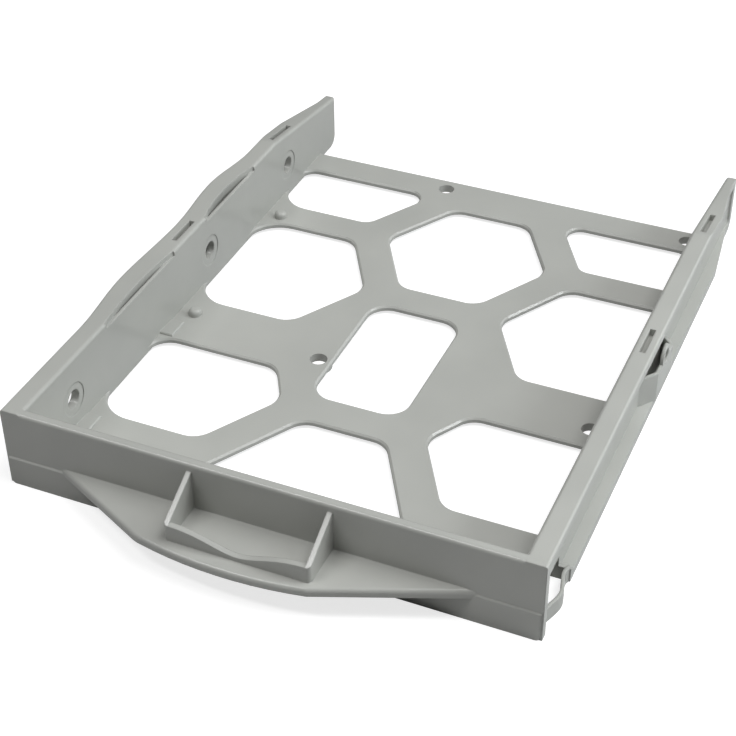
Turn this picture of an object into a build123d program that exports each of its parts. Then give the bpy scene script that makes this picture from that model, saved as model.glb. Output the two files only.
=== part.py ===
from build123d import *
from math import radians, sin, tan
import os

# Hot swap drive caddy: one moulded tray that carries a 3.5 inch or a 2.5 inch drive.
# Millimetres. X runs to the right, Y from the bezel's front face to the back, Z up.
# The origin is on the underside, at the middle of the bezel's front face.

# Sizes that the drive standards set; a 3.5 inch drive ends level with the walls' rear ends
drive_width = 101.6
drive_play = 0.7
side_hole_rise = 6.35
side_hole_setback = 28.5
side_hole_rear_step = 41.6
side_hole_front_step = 60.0
side_hole_radius = 2.1
peg_setback = 41.28
peg_step = 44.45
peg_side_setback = 3.175
small_hole_setback = 14.0
small_hole_side_setback = 4.07
small_hole_width = 61.72
small_hole_step = 76.6
small_drive_overhang = 0.4
small_hole_radius = 1.95

# Floor
floor_top = 2.0
floor_thickness = 1.15
floor_length = 139.0
floor_edge_break = 0.4
pad_height = 0.4
pad_width = 3.2
pad_edge_break = 0.25
front_pad_gap = 1.8
middle_pad_gap = 4.0
middle_pad_length = 5.6
peg_radius = 1.5
peg_height = 1.6
peg_round = 0.9
hole_boss_radius = 3.0

# Honeycomb openings in the floor
opening_pitch = 44.35
web_width = 8.3
edge_slope = 60.0
centre_flat_half = 9.4
row_shift = 1.8
opening_radius = 5.0
rear_row_radius = 3.5
left_wall_radius = 8.0
front_strip_back = 8.0
hole_band = 5.6
rear_strip_width = 8.2
slot_hole_gap = 3.09
centre_slot_right = 9.3

# Side walls and the rim that turns their outer face into a channel
wall_thickness = 2.0
wall_height = 18.2
wall_overhang = 9.5
wall_rear_height = 13.4
wall_slope_length = 34.5
wall_top_rear_round = 2.0
wall_foot_rear_round = 3.2
wall_edge_round = 0.8
rim_thickness = 2.0
rim_reach = 2.5
rim_rear_reach = 0.5
rim_taper_length = 17.0
rim_tail_length = 5.5
rim_edge_round = 0.5
side_ring_radius = 3.7
side_ring_depth = 0.15

# Long pockets in the top of both rims; their places are distances behind the middle screw hole
pocket_offset = 2.2
pocket_width = 1.2
pocket_depth = 1.6
front_pocket_place = -12.0
front_pocket_length = 8.5
rear_pocket_place = 37.0
rear_pocket_length = 10.0

# Bowed strips and their slits along the top of the left wall, placed as the pockets are
bow_start = -49.4
front_bow = -28.9
front_bow_reach = 1.5
bow_waist = -6.4
bow_waist_reach = 0.6
rear_bow = 12.6
rear_bow_reach = 1.9
bow_end = 29.6
slit_end_gap = 0.4
slit_lip_drop = 1.3
slit_lip_thickness = 0.8
slit_depth = 4.7
front_slit_start = -45.4
front_slit_end = -15.9
front_slit_bow = 0.9
rear_slit_start = -0.9
rear_slit_end = 23.6
rear_slit_bow = 1.5

# Bowed spring ears outside the middle side holes, each with a round eye above its strip
ear_thickness = 0.7
ear_reach = 2.9
ear_height = 9.1
ear_front_foot = 10.4
ear_front_flat = 5.6
ear_rear_flat = 5.6
ear_rear_foot = 9.4
eye_rise = 1.0
eye_radius = 2.7
eye_hole_radius = 1.7

# Bezel
bezel_inset = 0.4
bezel_thickness = 1.8
bezel_top_round = 0.8
bezel_corner_round = 1.0
bezel_band_height = 6.8
bezel_band_step = 0.35
bezel_ledge_slope = 0.3
gusset_height = 3.35
gusset_length = 3.7

# Finger shelf under the bezel's ledge
shelf_inset = 12.1
shelf_depth = 13.2
shelf_left_shoulder = 21.0
shelf_left_depth = 11.0
shelf_right_shoulder = 14.8
shelf_right_depth = 11.6
shelf_thickness = 2.0
shelf_top = 7.5
shelf_shoulder_round = 8.0
shelf_edge_round = 0.8

# Finger pocket that stands on the shelf
cup_half_width = 14.5
cup_rib_thickness = 1.0
cup_depth = 10.0
cup_front_thickness = 1.3
cup_rib_height = 16.5
cup_front_height = 11.2
cup_dip_height = 8.45
cup_corner_round = 0.9

# Spring strip behind the bezel at the right
spring_thickness = 0.7
spring_height = 3.55
spring_notch_back = 16.3
spring_notch_height = 5.5
spring_rib_height = 3.1
spring_rib_thickness = 1.2
spring_dent_inset = 0.9
spring_dent_y = 15.2
spring_bow_reach = 0.2
spring_bow_y = 10.0
spring_foot_inset = 1.0
spring_foot_y = 5.1
spring_root_inset = 1.8

# Everything below follows from the sizes above
wall_inner = drive_width / 2 + drive_play
wall_outer = wall_inner + wall_thickness
rim_outer = wall_outer + rim_reach
rim_rear_outer = wall_outer + rim_rear_reach
rim_bottom = wall_height - rim_thickness
wall_length = floor_length + wall_overhang
rim_taper_end = wall_length - rim_tail_length
rim_taper_start = rim_taper_end - rim_taper_length
bezel_width = 2 * (rim_outer - bezel_inset)
shelf_half = bezel_width / 2 - shelf_inset
cup_inner_half = cup_half_width - cup_rib_thickness / 2
floor_bottom = floor_top - floor_thickness
clear = 1.0

side_hole_z = floor_top + pad_height + side_hole_rise
rear_hole_y = wall_length - side_hole_setback
middle_hole_y = rear_hole_y - side_hole_rear_step
front_hole_y = middle_hole_y - side_hole_front_step
side_hole_ys = (front_hole_y, middle_hole_y, rear_hole_y)
eye_z = side_hole_z + eye_rise
peg_x = peg_side_setback - drive_width / 2
rear_peg_y = wall_length - peg_setback
front_peg_y = rear_peg_y - peg_step
small_right_x = drive_width / 2 - small_hole_side_setback
small_left_x = small_right_x - small_hole_width
small_rear_y = wall_length + small_drive_overhang - small_hole_setback
small_front_y = small_rear_y - small_hole_step

cell_half = (opening_pitch - web_width) / 2
cell_slope = cell_half / tan(radians(edge_slope))
centre_vertex = centre_flat_half + cell_slope
column_shift = opening_pitch / 2 / tan(radians(edge_slope))
side_vertex = centre_vertex + web_width / sin(radians(edge_slope)) - column_shift
centre_slot_left = -small_left_x - slot_hole_gap
middle_row_y = (front_peg_y + rear_peg_y) / 2 + row_shift
side_row_ys = (middle_row_y - opening_pitch, middle_row_y, middle_row_y + opening_pitch)
centre_row_ys = [y - opening_pitch / 2 for y in side_row_ys]
front_band_front = small_front_y - hole_band
rear_strip_front = floor_length - rear_strip_width


def opening(points, back, radius):
    """One floor opening: a straight-sided outline cut off front and back, its corners rounded."""
    with BuildSketch() as cell:
        with BuildLine():
            Polyline(*points, close=True)
        make_face()
        with Locations((0, (front_strip_back + back) / 2)):
            Rectangle(2 * rim_outer, back - front_strip_back, mode=Mode.INTERSECT)
        offset(amount=-radius, kind=Kind.INTERSECTION)
        offset(amount=radius)
    return cell.sketch


def centre_cell(middle_y):
    """A whole hexagon on the tray's centre line."""
    return [
        (centre_vertex, middle_y),
        (centre_flat_half, middle_y + cell_half),
        (-centre_flat_half, middle_y + cell_half),
        (-centre_vertex, middle_y),
        (-centre_flat_half, middle_y - cell_half),
        (centre_flat_half, middle_y - cell_half),
    ]


def front_cell(middle_y):
    """The half hexagon nearest the bezel, whose sloping sides run on to the front strip."""
    reach = centre_flat_half + (middle_y + cell_half - front_strip_back) / tan(radians(edge_slope))
    return [
        (centre_flat_half, middle_y + cell_half),
        (-centre_flat_half, middle_y + cell_half),
        (-reach, front_strip_back),
        (reach, front_strip_back),
    ]


def side_opening(middle_y, side, back, radius):
    """A hexagon that a side wall cuts off, at rounder corners on the left; side is 1 or -1 for left."""
    points = [
        (side * side_vertex, middle_y),
        (side * (side_vertex + cell_slope), middle_y + cell_half),
        (side * wall_inner, middle_y + cell_half),
        (side * wall_inner, middle_y - cell_half),
        (side * (side_vertex + cell_slope), middle_y - cell_half),
    ]
    with BuildSketch() as cell:
        add(opening(points, back, radius))
        if side < 0:
            with Locations((-wall_inner / 2, middle_y)):
                RectangleRounded(wall_inner, 2 * cell_half, left_wall_radius, mode=Mode.INTERSECT)
    return cell.sketch


def centre_slot(middle_y):
    """The middle opening, kept narrow beside a screw hole."""
    return [
        (centre_slot_right, middle_y + cell_half),
        (-centre_slot_left, middle_y + cell_half),
        (-centre_slot_left, middle_y - cell_half),
        (centre_slot_right, middle_y - cell_half),
    ]


openings = [
    opening(front_cell(centre_row_ys[0]), rear_strip_front, opening_radius),
    opening(centre_slot(centre_row_ys[1]), rear_strip_front, opening_radius),
    opening(centre_cell(centre_row_ys[2]), rear_strip_front, opening_radius),
]
for side in (-1, 1):
    openings.append(side_opening(side_row_ys[0], side, front_band_front, opening_radius))
    openings.append(side_opening(side_row_ys[1], side, rear_strip_front, opening_radius))
    openings.append(side_opening(side_row_ys[2], side, rear_strip_front, rear_row_radius))

# The floor between the walls, with the openings' upper edges broken
with BuildPart() as floor:
    with BuildSketch(Plane.XY.offset(floor_bottom)):
        with Locations((0, floor_length / 2)):
            Rectangle(2 * wall_outer, floor_length)
        for cell in openings:
            add(cell, mode=Mode.SUBTRACT)
    extrude(amount=floor_thickness)
    seat = floor.faces().sort_by(Axis.Z)[-1]
    rear_edge = seat.edges().sort_by(Axis.Y)[-1:]
    chamfer(seat.inner_wires().edges() + rear_edge, floor_edge_break)


def wall_profile():
    """The side wall's outline seen from the side."""
    with BuildSketch() as profile:
        with BuildLine():
            Polyline(
                (0, 0),
                (wall_length, 0),
                (wall_length, wall_rear_height),
                (wall_length - wall_slope_length, wall_height),
                (0, wall_height),
                close=True,
            )
        make_face()
        rear_corners = profile.vertices().group_by(Axis.X)[-1].sort_by(Axis.Y)
        fillet(rear_corners[0], wall_foot_rear_round)
        fillet(rear_corners[-1], wall_top_rear_round)
    return profile.sketch


def rim_profile():
    """The band along the wall's foot, rear end and top, seen from the side."""
    with BuildSketch() as profile:
        add(wall_profile())
        offset(amount=-rim_thickness, mode=Mode.SUBTRACT)
        with Locations((bezel_thickness + rim_thickness, wall_height / 2)):
            Rectangle(2 * rim_thickness, rim_bottom - rim_thickness, mode=Mode.SUBTRACT)
    return profile.sketch


def rim_plan(bowed):
    """The rim seen from above, with its rear taper and, on one side, its two bows."""
    with BuildSketch() as plan:
        with BuildLine():
            if bowed:
                stations = [
                    (rim_outer, middle_hole_y + bow_start),
                    (rim_outer + front_bow_reach, middle_hole_y + front_bow),
                    (rim_outer + bow_waist_reach, middle_hole_y + bow_waist),
                    (rim_outer + rear_bow_reach, middle_hole_y + rear_bow),
                    (rim_outer, middle_hole_y + bow_end),
                ]
                Line((rim_outer, 0), stations[0])
                for start, end in zip(stations, stations[1:]):
                    Spline(start, end, tangents=[(0, 1), (0, 1)])
                Line(stations[-1], (rim_outer, rim_taper_start))
            else:
                Line((rim_outer, 0), (rim_outer, rim_taper_start))
            Polyline(
                (rim_outer, rim_taper_start),
                (rim_rear_outer, rim_taper_end),
                (rim_rear_outer, wall_length + clear),
                (wall_inner, wall_length + clear),
                (wall_inner, 0),
                (rim_outer, 0),
            )
        make_face()
    return plan.sketch


def rim_band(bowed, low, high):
    """The part of the rim between two heights."""
    with BuildPart() as band:
        with BuildSketch(Plane.YZ.offset(wall_inner)):
            add(rim_profile())
        extrude(amount=rim_outer + rear_bow_reach + front_bow_reach - wall_inner)
        with BuildSketch(Plane.XY.offset(low)):
            add(rim_plan(bowed))
        extrude(amount=high - low, mode=Mode.INTERSECT)
    return band.part


def slit_plan(start, end, bow, lip):
    """A slit seen from above, from the given distance behind the wall's inner face to the bowed strip."""
    middle = (start + end) / 2
    edge = wall_inner + slit_end_gap
    with BuildSketch() as plan:
        with BuildLine():
            Polyline((edge, end), (wall_inner - clear, end), (wall_inner - clear, start), (edge, start))
            ThreePointArc((edge, start), (edge + bow, middle), (edge, end))
        make_face()
        with Locations((wall_inner + lip - clear, middle)):
            Rectangle(2 * clear, end - start, mode=Mode.SUBTRACT if lip else Mode.ADD)
    return plan.sketch


def pockets():
    """The two long pockets in the rim's top, which keep their depth where the top slopes down."""
    with BuildPart() as tool:
        with BuildSketch(Plane.XY.offset(wall_height / 2)):
            for place, length in (
                (front_pocket_place, front_pocket_length),
                (rear_pocket_place, rear_pocket_length),
            ):
                with Locations((wall_inner + pocket_offset, middle_hole_y + place + length / 2)):
                    Rectangle(pocket_width, length)
        extrude(amount=wall_height / 2 + clear)
        with BuildSketch(Plane.YZ.offset(wall_inner)):
            add(wall_profile())
            offset(amount=-pocket_depth)
        extrude(amount=rim_outer - wall_inner, mode=Mode.SUBTRACT)
    return tool.part


def ear():
    """The bowed strip outside the middle screw hole, with a pierced round eye."""
    with BuildPart() as strip:
        with BuildSketch(Plane.XY.offset(rim_thickness)):
            with BuildLine():
                Polyline(
                    (wall_outer - ear_thickness, middle_hole_y - ear_front_foot),
                    (wall_outer + ear_reach, middle_hole_y - ear_front_flat),
                    (wall_outer + ear_reach, middle_hole_y + ear_rear_flat),
                    (wall_outer - ear_thickness, middle_hole_y + ear_rear_foot),
                    close=True,
                )
            make_face()
            offset(amount=-ear_thickness, mode=Mode.SUBTRACT)
        extrude(amount=eye_z + eye_radius - rim_thickness)
        with BuildSketch(Plane.YZ.offset(wall_outer - ear_thickness)):
            with Locations((middle_hole_y, ear_height / 2)):
                Rectangle(2 * ear_front_foot, ear_height)
            with Locations((middle_hole_y, eye_z)):
                Circle(eye_radius)
                Circle(eye_hole_radius, mode=Mode.SUBTRACT)
        extrude(amount=ear_thickness + ear_reach, mode=Mode.INTERSECT)
    return strip.part


def side_wall(bowed):
    """A whole side in the right-hand position: wall, rim, ear, screw holes and pockets."""
    with BuildPart() as side:
        with BuildSketch(Plane.YZ.offset(wall_inner)):
            add(wall_profile())
        extrude(amount=wall_thickness)
        add(rim_band(False, 0, wall_height / 2))
        add(rim_band(bowed, wall_height / 2, wall_height))
        inner_edges = side.faces().sort_by(Axis.X)[0].edges()
        fillet(inner_edges.filter_by(lambda edge: edge.center().Z > wall_height / 4
                                     and edge.center().Y > bezel_thickness), wall_edge_round)
        outer_edges = side.faces().filter_by(Axis.Z).sort_by(Axis.Z)[-1].edges()
        fillet(outer_edges.filter_by(lambda edge: edge.center().X > wall_outer + rim_reach / 2),
               rim_edge_round)

        # Gusset that ties the top rim to the bezel
        with BuildSketch(Plane.YZ.offset(wall_outer - clear)):
            with BuildLine():
                Polyline(
                    (0, rim_bottom + clear),
                    (0, wall_height - gusset_height),
                    (gusset_length, wall_height - gusset_height),
                    (gusset_length + gusset_height - rim_thickness, rim_bottom),
                    (gusset_length + gusset_height - rim_thickness, rim_bottom + clear),
                    close=True,
                )
            make_face()
        extrude(amount=rim_reach + clear)

        # Screw holes with a shallow ring on the inside, through the wall but not the ear
        add(ear())
        with BuildSketch(Plane.YZ.offset(wall_inner)):
            with Locations(*[(y, side_hole_z) for y in side_hole_ys]):
                Circle(side_ring_radius)
        extrude(amount=side_ring_depth, mode=Mode.SUBTRACT)
        with BuildSketch(Plane.YZ.offset(wall_inner - clear)):
            with Locations(*[(y, side_hole_z) for y in side_hole_ys]):
                Circle(side_hole_radius)
        extrude(amount=wall_thickness + 2 * clear, mode=Mode.SUBTRACT)

        add(pockets(), mode=Mode.SUBTRACT)

        # Slits that free the bowed strips from the wall
        if bowed:
            slits = [
                (front_slit_start, front_slit_end, front_slit_bow),
                (rear_slit_start, rear_slit_end, rear_slit_bow),
            ]
            for start, end, bow in slits:
                start += middle_hole_y
                end += middle_hole_y
                with BuildSketch(Plane.XY.offset(wall_height - slit_lip_drop)):
                    add(slit_plan(start, end, bow, 0))
                extrude(amount=slit_lip_drop + clear, mode=Mode.SUBTRACT)
                with BuildSketch(Plane.XY.offset(wall_height - slit_depth)):
                    add(slit_plan(start, end, bow, slit_lip_thickness))
                extrude(amount=slit_depth + clear, mode=Mode.SUBTRACT)
    return side.part


# Bezel with its lower band standing slightly proud
with BuildPart() as bezel:
    with BuildSketch(Plane.XZ):
        with Locations((0, wall_height / 2)):
            Rectangle(bezel_width, wall_height)
    extrude(amount=-bezel_thickness)
    with BuildSketch(Plane.XZ):
        with Locations((0, bezel_band_height / 2)):
            Rectangle(bezel_width, bezel_band_height)
    extrude(amount=bezel_band_step)
    fillet(bezel.edges().filter_by(Axis.Y).group_by(Axis.Z)[0], bezel_corner_round)
    top_edges = bezel.faces().sort_by(Axis.Z)[-1].edges().filter_by(Axis.X).sort_by(Axis.Y)
    fillet(top_edges[0], bezel_top_round)
    ledge_edges = bezel.edges().filter_by(Axis.X).filter_by_position(
        Axis.Z, bezel_band_height, bezel_band_height)
    chamfer(ledge_edges.sort_by(Axis.Y)[0], bezel_ledge_slope)

# Finger shelf
with BuildPart() as shelf:
    with BuildSketch(Plane.XY.offset(shelf_top - shelf_thickness)) as shelf_plan:
        with BuildLine():
            Polyline(
                (-shelf_left_shoulder, -shelf_left_depth),
                (-shelf_half, 0),
                (-shelf_half, bezel_thickness / 2),
                (shelf_half, bezel_thickness / 2),
                (shelf_half, 0),
                (shelf_right_shoulder, -shelf_right_depth),
            )
            ThreePointArc(
                (shelf_right_shoulder, -shelf_right_depth),
                ((shelf_right_shoulder - shelf_left_shoulder) / 2, -shelf_depth),
                (-shelf_left_shoulder, -shelf_left_depth),
            )
        make_face()
        fillet(shelf_plan.vertices().sort_by(Axis.Y)[1], shelf_shoulder_round)
    extrude(amount=shelf_thickness)
    front_edges = shelf.edges().filter_by(lambda edge: edge.center().Y < -shelf_edge_round)
    fillet(front_edges.group_by(Axis.Z)[-1], shelf_edge_round)
    fillet(shelf.edges().group_by(Axis.Z)[0].filter_by(lambda edge: edge.center().Y < -shelf_edge_round),
           shelf_edge_round / 2)

# Finger cup: two sloping ribs and a front wall with a dipped top
with BuildPart() as cup:
    with BuildSketch(Plane.YZ):
        with BuildLine():
            Polyline(
                (bezel_thickness / 2, shelf_top - shelf_thickness / 2),
                (bezel_thickness / 2, cup_rib_height),
                (0, cup_rib_height),
                (-cup_depth, cup_front_height),
                (-cup_depth, shelf_top - shelf_thickness / 2),
                close=True,
            )
        make_face()
    extrude(amount=cup_half_width + cup_rib_thickness / 2, both=True)
    with BuildSketch(Plane.YZ):
        with Locations(((bezel_thickness - cup_depth + cup_front_thickness) / 2, wall_height / 2)):
            Rectangle(cup_depth + bezel_thickness - cup_front_thickness, wall_height)
    extrude(amount=cup_inner_half, both=True, mode=Mode.SUBTRACT)
    fillet(cup.edges().filter_by(Axis.Z).group_by(Axis.Y)[0], cup_corner_round)
    with BuildSketch(Plane.XZ.offset(cup_depth + clear)):
        with BuildLine():
            Spline(
                (-cup_inner_half, cup_front_height),
                (0, cup_dip_height),
                (cup_inner_half, cup_front_height),
                tangents=[(1, 0), (1, 0)],
            )
            Polyline(
                (cup_inner_half, cup_front_height),
                (cup_inner_half, wall_height),
                (-cup_inner_half, wall_height),
                (-cup_inner_half, cup_front_height),
            )
        make_face()
    extrude(amount=-(cup_front_thickness + clear), mode=Mode.SUBTRACT)

with BuildPart() as caddy_tray:
    add(floor.part)
    add(side_wall(bowed=False))
    add(side_wall(bowed=True).mirror(Plane.YZ))
    add(bezel.part)
    add(shelf.part)
    add(cup.part)

    # Notch in the right wall's foot behind the bezel, and the rib that ends the lower rim
    with BuildSketch(Plane.YZ.offset(wall_inner)):
        with Locations(((bezel_thickness + spring_notch_back) / 2, spring_notch_height / 2)):
            Rectangle(spring_notch_back - bezel_thickness, spring_notch_height)
    extrude(amount=wall_thickness + rim_reach + clear, mode=Mode.SUBTRACT)
    with BuildSketch(Plane.YZ.offset(wall_inner)):
        with Locations((spring_notch_back + spring_rib_thickness / 2, spring_rib_height / 2)):
            Rectangle(spring_rib_thickness, spring_rib_height)
    extrude(amount=wall_thickness + rim_reach)

    # Spring strip from the rib to the back of the bezel
    with BuildSketch():
        with BuildLine() as spring_path:
            Spline(
                (rim_outer - spring_thickness / 2, spring_notch_back + spring_rib_thickness / 2),
                (rim_outer - spring_dent_inset, spring_dent_y),
                (rim_outer + spring_bow_reach, spring_bow_y),
                (rim_outer - spring_foot_inset, spring_foot_y),
                (rim_outer - spring_root_inset, bezel_thickness / 2),
            )
        trace(line_width=spring_thickness)
    extrude(amount=spring_height)

    # Low pads that carry the drive; a screw hole takes the place of one at the right
    front_pad_back = side_row_ys[0] - cell_half - front_pad_gap
    middle_pad_back = front_peg_y - middle_pad_gap
    pads = [
        (-1, bezel_thickness, front_pad_back),
        (1, bezel_thickness, front_pad_back),
        (-1, middle_pad_back - middle_pad_length, middle_pad_back),
    ]
    with BuildSketch(Plane.XY.offset(floor_top)):
        for side, front, back in pads:
            with Locations((side * (wall_inner - pad_width / 2), (front + back) / 2)):
                Rectangle(pad_width, back - front)
    extrude(amount=pad_height)
    pad_tops = caddy_tray.faces().filter_by(Axis.Z).filter_by_position(
        Axis.Z, floor_top + pad_height, floor_top + pad_height)
    chamfer(pad_tops.edges().filter_by(lambda edge: abs(edge.center().X) < wall_inner - pad_edge_break
                                       and edge.center().Y > bezel_thickness + pad_edge_break),
            pad_edge_break)

    # Small-drive screw holes, each through a boss that reaches down to the level of the walls' feet
    hole_spots = [
        (x, y)
        for x in (small_left_x, small_right_x)
        for y in (small_front_y, small_rear_y)
    ]
    with BuildSketch():
        with Locations(*hole_spots):
            Circle(hole_boss_radius)
    extrude(amount=floor_top - floor_thickness / 2)
    with BuildSketch():
        with Locations(*hole_spots):
            Circle(small_hole_radius)
    extrude(amount=floor_top, mode=Mode.SUBTRACT)

    # Two round pegs that drop into the bottom holes of a 3.5 inch drive
    with BuildSketch(Plane.XY.offset(floor_top)):
        with Locations((peg_x, front_peg_y), (peg_x, rear_peg_y)):
            Circle(peg_radius)
    extrude(amount=peg_height)
    peg_rims = caddy_tray.edges().filter_by(GeomType.CIRCLE).filter_by_position(
        Axis.Z, floor_top + peg_height, floor_top + peg_height)
    fillet(peg_rims.filter_by(lambda edge: edge.radius < peg_radius + peg_round), peg_round)

caddy_tray.part.label = "caddy_tray"

os.makedirs("parts", exist_ok=True)
export_step(caddy_tray.part, "parts/caddy_tray.step")
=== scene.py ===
import math

import bpy
from mathutils import Matrix, Vector


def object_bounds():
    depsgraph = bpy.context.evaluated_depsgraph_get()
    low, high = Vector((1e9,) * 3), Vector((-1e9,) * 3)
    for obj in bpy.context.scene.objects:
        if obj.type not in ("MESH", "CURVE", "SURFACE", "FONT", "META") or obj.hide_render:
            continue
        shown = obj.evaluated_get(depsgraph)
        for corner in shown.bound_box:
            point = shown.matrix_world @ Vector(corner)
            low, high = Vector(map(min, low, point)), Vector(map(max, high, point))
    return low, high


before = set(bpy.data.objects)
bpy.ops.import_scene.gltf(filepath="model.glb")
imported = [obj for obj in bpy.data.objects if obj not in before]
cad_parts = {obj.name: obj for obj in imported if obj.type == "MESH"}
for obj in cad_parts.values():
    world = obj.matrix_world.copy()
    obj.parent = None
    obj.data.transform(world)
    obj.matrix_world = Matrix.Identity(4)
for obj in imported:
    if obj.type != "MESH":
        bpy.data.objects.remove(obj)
cad_low, cad_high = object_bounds()

MM = 0.001  # metres in a millimetre

# Tray plastic: two close greys, and the fineness of its patterns in waves per metre
GREY_DARK = (0.425, 0.430, 0.406, 1.0)
GREY_LIGHT = (0.475, 0.480, 0.452, 1.0)
CLOUD_SCALE = 38.0
SHEEN_SCALE = 160.0
GRAIN_SCALE = 2600.0
NOISE_RANGE = (0.3, 0.7)  # where most of a noise texture's values lie
ROUGHNESS_RANGE = (0.38, 0.50)
EDGE_HEIGHTS = (1.8 * MM, 3.2 * MM)  # just under the floor's top, and clear above it
EDGE_RADII = (0.12 * MM, 0.48 * MM)  # edge rounding up to the first height and from the second on
GRAIN_DEPTH = 0.05 * MM

# Studio: all lengths in metres and powers in watts
WHITE = (1.0, 1.0, 1.0, 1.0)
FLOOR_HALF = 0.36
FLOOR_GREY = (0.47, 0.47, 0.47, 1.0)
FLOOR_LIFT = 0.74  # makes the lit floor white to the camera, and adds no light to the tray
SOFT_BLUE = (0.95, 0.98, 1.0, 1.0)
SOFT_STRENGTH = 0.03
LAMP_WHITE = (1.0, 1.0, 1.0)
LAMP_COOL = (0.94, 0.985, 1.0)
TRAY_MIDDLE = (0.0, 0.07, 0.01)

# Camera: the photograph's angle and frame
AZIMUTH = math.radians(23.70)
ELEVATION = math.radians(37.45)
ROLL = math.radians(-0.52)
DISTANCE = 0.3472
LOOK_AT = Vector((0.0011, 0.0484, 0.0113))
FOCAL_PIXELS = 1677.6
PICTURE_PIXELS = 736
SENSOR_MM = 36.0


def emptied_tree(owner):
    """The node tree of a material or a world, switched on and emptied."""
    owner.use_nodes = True
    owner.node_tree.nodes.clear()
    return owner.node_tree


def add_node(tree, kind, values=None):
    """A node of one kind, with plain numbers and colours set on its own inputs."""
    node = tree.nodes.new(kind)
    for name, value in (values or {}).items():
        node.inputs[name].default_value = value
    return node


def noise(tree, place, scale, detail, roughness):
    """A noise pattern that runs through the whole body of the piece."""
    node = add_node(tree, "ShaderNodeTexNoise", {
        "Scale": scale, "Detail": detail, "Roughness": roughness})
    tree.links.new(place, node.inputs["Vector"])
    return node.outputs["Fac"]


def spread(tree, value, source, target):
    """A value in the source range moved to the same part of the target range."""
    node = add_node(tree, "ShaderNodeMapRange", {
        "From Min": source[0], "From Max": source[1],
        "To Min": target[0], "To Max": target[1]})
    tree.links.new(value, node.inputs["Value"])
    return node.outputs["Result"]


def moulded_plastic():
    """Light grey moulded plastic: faint flow clouds, a fine even grain and softly broken edges.

    The edges are crisp at the thin floor and rounder on everything that stands above it.
    """
    material = bpy.data.materials.new("tray_plastic")
    tree = emptied_tree(material)
    link = tree.links.new
    shader = add_node(tree, "ShaderNodeBsdfPrincipled", {
        "Specular IOR Level": 0.35, "Coat Weight": 0.7, "Coat Roughness": 0.18})
    output = add_node(tree, "ShaderNodeOutputMaterial")
    link(shader.outputs["BSDF"], output.inputs["Surface"])
    place = add_node(tree, "ShaderNodeTexCoord").outputs["Object"]

    ramp = add_node(tree, "ShaderNodeValToRGB")
    for stop, position, colour in zip(
            ramp.color_ramp.elements, NOISE_RANGE, (GREY_DARK, GREY_LIGHT)):
        stop.position = position
        stop.color = colour
    link(noise(tree, place, CLOUD_SCALE, 3.0, 0.5), ramp.inputs["Fac"])
    link(ramp.outputs["Color"], shader.inputs["Base Color"])

    sheen_spots = noise(tree, place, SHEEN_SCALE, 4.0, 0.6)
    roughness = spread(tree, sheen_spots, NOISE_RANGE, ROUGHNESS_RANGE)
    link(roughness, shader.inputs["Roughness"])

    axes = add_node(tree, "ShaderNodeSeparateXYZ")
    link(place, axes.inputs["Vector"])
    edge = add_node(tree, "ShaderNodeBevel")
    edge.samples = 8
    link(spread(tree, axes.outputs["Z"], EDGE_HEIGHTS, EDGE_RADII), edge.inputs["Radius"])

    bump = add_node(tree, "ShaderNodeBump", {"Strength": 0.18, "Distance": GRAIN_DEPTH})
    link(noise(tree, place, GRAIN_SCALE, 2.0, 0.5), bump.inputs["Height"])
    link(edge.outputs["Normal"], bump.inputs["Normal"])
    link(bump.outputs["Normal"], shader.inputs["Normal"])
    return material


def floor_card():
    """A pale card that keeps shadows and looks white to the camera where it is lit."""
    material = bpy.data.materials.new("studio_floor")
    tree = emptied_tree(material)
    link = tree.links.new
    card = add_node(tree, "ShaderNodeBsdfDiffuse", {"Color": FLOOR_GREY})
    lift = add_node(tree, "ShaderNodeEmission", {"Color": WHITE})
    rays = add_node(tree, "ShaderNodeLightPath")
    strength = add_node(tree, "ShaderNodeMath")
    strength.operation = "MULTIPLY"
    strength.inputs[1].default_value = FLOOR_LIFT
    both = add_node(tree, "ShaderNodeAddShader")
    output = add_node(tree, "ShaderNodeOutputMaterial")
    link(rays.outputs["Is Camera Ray"], strength.inputs[0])
    link(strength.outputs["Value"], lift.inputs["Strength"])
    link(card.outputs["BSDF"], both.inputs[0])
    link(lift.outputs["Emission"], both.inputs[1])
    link(both.outputs["Shader"], output.inputs["Surface"])
    return material


def pale_world():
    """Surroundings that give a faint even light and are white where the camera sees them."""
    world = bpy.data.worlds.new("studio")
    tree = emptied_tree(world)
    link = tree.links.new
    soft = add_node(tree, "ShaderNodeBackground", {
        "Color": SOFT_BLUE, "Strength": SOFT_STRENGTH})
    white = add_node(tree, "ShaderNodeBackground", {"Color": WHITE, "Strength": 1.0})
    rays = add_node(tree, "ShaderNodeLightPath")
    choose = add_node(tree, "ShaderNodeMixShader")
    output = add_node(tree, "ShaderNodeOutputWorld")
    link(rays.outputs["Is Camera Ray"], choose.inputs["Fac"])
    link(soft.outputs["Background"], choose.inputs[1])
    link(white.outputs["Background"], choose.inputs[2])
    link(choose.outputs["Shader"], output.inputs["Surface"])
    return world


def area_light(name, place, target, width, height, power, colour=LAMP_WHITE):
    """A soft box at a place, turned to a target."""
    data = bpy.data.lights.new(name, "AREA")
    data.shape = "RECTANGLE"
    data.size = width
    data.size_y = height
    data.energy = power
    data.color = colour
    lamp = bpy.data.objects.new(name, data)
    bpy.context.scene.collection.objects.link(lamp)
    lamp.location = place
    lamp.rotation_mode = "QUATERNION"
    lamp.rotation_quaternion = (Vector(target) - Vector(place)).to_track_quat("-Z", "Y")


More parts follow.
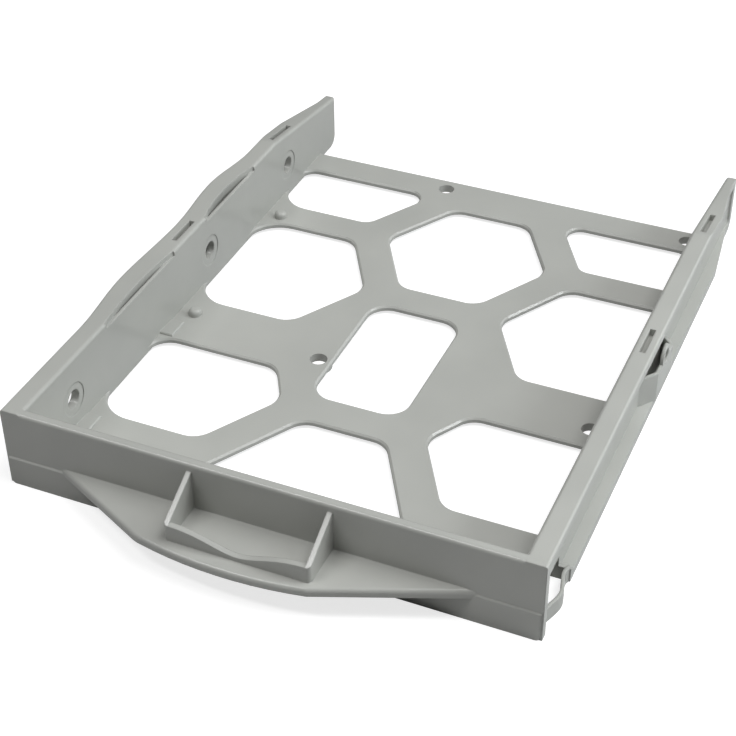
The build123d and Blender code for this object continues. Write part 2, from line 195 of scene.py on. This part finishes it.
def photograph_camera():
    """The camera that gives the photograph's view of the tray."""
    back = Vector((
        math.sin(AZIMUTH) * math.cos(ELEVATION),
        -math.cos(AZIMUTH) * math.cos(ELEVATION),
        math.sin(ELEVATION),
    ))
    right = Vector((0, 0, 1)).cross(back).normalized()
    up = back.cross(right)
    turned_right = right * math.cos(ROLL) + up * math.sin(ROLL)
    turned_up = up * math.cos(ROLL) - right * math.sin(ROLL)
    data = bpy.data.cameras.new("camera")
    data.sensor_width = SENSOR_MM
    data.lens = FOCAL_PIXELS * SENSOR_MM / PICTURE_PIXELS
    data.clip_start = 0.01
    data.clip_end = 50.0
    camera = bpy.data.objects.new("camera", data)
    bpy.context.scene.collection.objects.link(camera)
    turn = Matrix((turned_right, turned_up, back)).transposed().to_4x4()
    camera.matrix_world = Matrix.Translation(LOOK_AT + back * DISTANCE) @ turn
    return camera


# Tray: the one piece, in its plastic
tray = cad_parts["caddy_tray"]
plastic = moulded_plastic()
for spot in tray.material_slots:
    spot.material = plastic

# Floor: a square card at the height of the tray's underside
floor_mesh = bpy.data.meshes.new("studio_floor")
floor_corners = [
    (-FLOOR_HALF, -FLOOR_HALF, 0), (FLOOR_HALF, -FLOOR_HALF, 0),
    (FLOOR_HALF, FLOOR_HALF, 0), (-FLOOR_HALF, FLOOR_HALF, 0)]
floor_mesh.from_pydata(floor_corners, [], [(0, 1, 2, 3)])
floor_mesh.materials.append(floor_card())
floor = bpy.data.objects.new("studio_floor", floor_mesh)
floor.location.z = cad_low.z
bpy.context.scene.collection.objects.link(floor)

bpy.context.scene.world = pale_world()

# Lamps: name, place, target, width, height, power and, for the bluish ones, colour
area_light("key_above", (0.35, 0.0, 1.2), TRAY_MIDDLE, 0.5, 0.5, 5.1)
area_light("side_right", (1.0, 0.25, 0.9), TRAY_MIDDLE, 0.5, 0.5, 2.2, LAMP_COOL)
area_light("side_near", (0.27, 0.10, 0.15), TRAY_MIDDLE, 0.12, 0.12, 0.31, LAMP_COOL)
area_light("rim_back_right", (0.5, 0.4, 1.1), TRAY_MIDDLE, 0.5, 0.5, 3.6)
area_light("edge_back_right", (0.82, 1.02, 0.44), TRAY_MIDDLE, 0.9, 0.7, 2.6, LAMP_COOL)
area_light("edge_above_left", (-0.44, -0.34, 1.1), (-0.44, 0.07, 0.01), 0.6, 0.16, 4.8)
area_light("edge_front_left", (-0.32, -0.34, 0.4), TRAY_MIDDLE, 0.16, 0.16, 0.12)

bpy.context.scene.camera = photograph_camera()
bpy.context.scene.view_settings.view_transform = "Standard"
